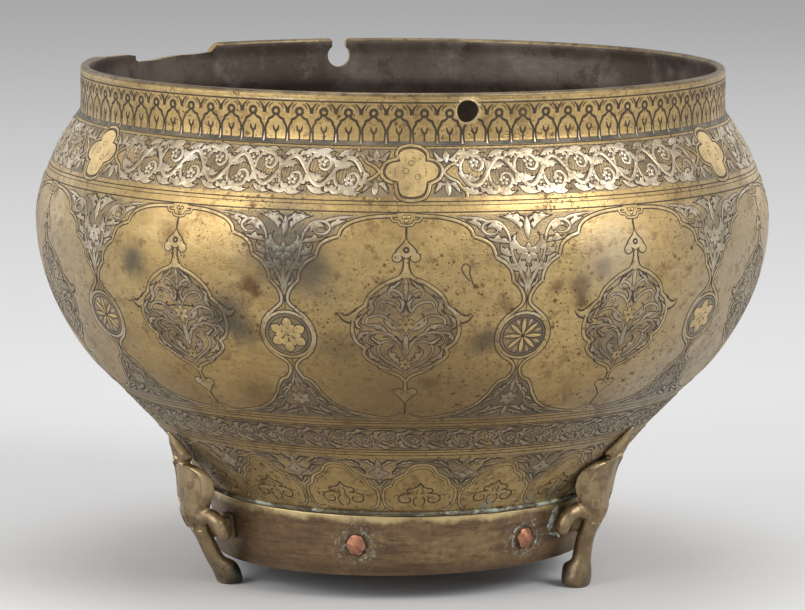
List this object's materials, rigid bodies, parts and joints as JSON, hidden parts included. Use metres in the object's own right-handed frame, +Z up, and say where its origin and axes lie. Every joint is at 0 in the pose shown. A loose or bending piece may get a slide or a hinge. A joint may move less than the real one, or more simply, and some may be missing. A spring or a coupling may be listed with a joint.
{
  "type": "bath pail",
  "caption": "Squat round brass pail with an engraved, silver-inlaid belly, an upright arcaded neck and a riveted foot band on cast scrolled feet.",
  "frame": {"origin": "on the floor under the middle of the body, in the plane of the three hooves", "axes": "+Z up along the body's axis; -Y points from the axis to the round handle hole at the front of the neck"},
  "size_m": [0.26, 0.26, 0.1808],
  "materials": {
    "body_brass": "engraved and inlaid brass, worn, with brown and dark stains",
    "band_brass": "browner brass sheet, streaked, with a bright worn upper edge",
    "cast_brass": "cast and filed brass, worn smooth",
    "copper": "hammered copper, matt",
    "solder": "old solder under pale green crust, matt"
  },
  "bodies": {
    "root": {"body_shell": "body_brass", "base_plate": "body_brass", "foot_band": "band_brass", "band_solder_seam": "solder", "band_rivet_1": "copper", "band_rivet_2": "copper", "band_rivet_3": "copper", "band_rivet_4": "copper", "band_rivet_5": "copper", "band_rivet_6": "copper", "foot_left": "cast_brass", "foot_left_solder": "solder", "foot_right": "cast_brass", "foot_right_solder": "solder", "foot_back": "cast_brass", "foot_back_solder": "solder"}
  },
  "joints": []
}
